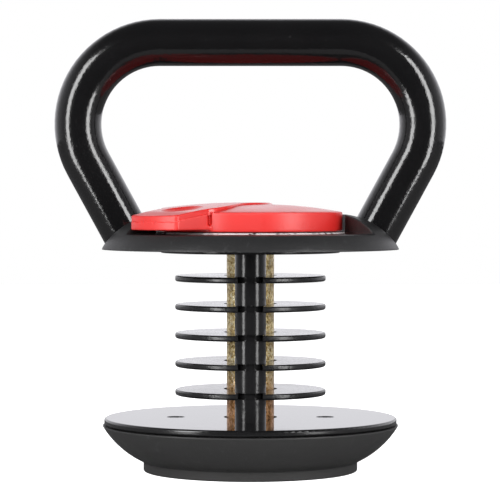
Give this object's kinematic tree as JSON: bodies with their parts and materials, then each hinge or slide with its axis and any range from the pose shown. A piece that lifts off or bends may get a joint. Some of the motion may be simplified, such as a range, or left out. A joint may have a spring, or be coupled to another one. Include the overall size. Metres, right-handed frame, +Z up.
{
  "type": "adjustable kettlebell frame",
  "caption": "Adjustable kettlebell frame with a bent tube handle, a quarter-turn locking dial and bays for slotted weight plates over a weighted base.",
  "frame": {"origin": "floor, on the axis of the central lock shaft", "axes": "+Z up along the lock shaft, +X to the right along the grip bar, the guide post and the front face -Y"},
  "size_m": [0.2356, 0.1788, 0.2715],
  "materials": {
    "handle_paint": "gloss powder coat",
    "black_steel": "gloss powder coat",
    "cover_plastic": "fine matte texture",
    "shell_rubber": "fine matte texture",
    "foot_rubber": "matte",
    "red_plastic": "satin moulding",
    "yellow_zinc": "yellow zinc plate",
    "zinc_screws": "clear zinc plate",
    "cast_iron": "as cast, primed",
    "bush_nylon": "plain moulding"
  },
  "bodies": {
    "cage": {"handle_tube": "handle_paint", "top_plate": "black_steel", "top_disc": "black_steel", "top_cover": "cover_plastic", "cover_screws": "zinc_screws", "upper_bush": "bush_nylon", "stop_pin": "zinc_screws", "guide_post": "black_steel", "post_upper_screw": "zinc_screws", "post_lower_screw": "zinc_screws", "base_plate": "black_steel", "base_plate_screws": "zinc_screws", "base_weight": "cast_iron", "base_shell": "shell_rubber", "shell_screws": "zinc_screws", "foot_ring": "foot_rubber", "lower_bush": "bush_nylon", "divider_disc_1": "black_steel", "divider_disc_2": "black_steel", "divider_disc_3": "black_steel", "divider_disc_4": "black_steel", "divider_disc_5": "black_steel"},
    "lock_rotor": {"lock_shaft": "yellow_zinc", "dial_body": "red_plastic", "dial_cap": "red_plastic", "dial_screws": "zinc_screws", "top_bolt": "zinc_screws", "top_washer": "zinc_screws", "bottom_bolt": "zinc_screws", "bottom_washer": "zinc_screws", "thrust_washer": "bush_nylon"}
  },
  "joints": [
    {"name": "dial_turn", "type": "hinge", "parent": "cage", "child": "lock_rotor", "pos_m": [0, 0, 0.15], "axis": [0, 0, 1], "range_deg": [0, 90]}
  ]
}
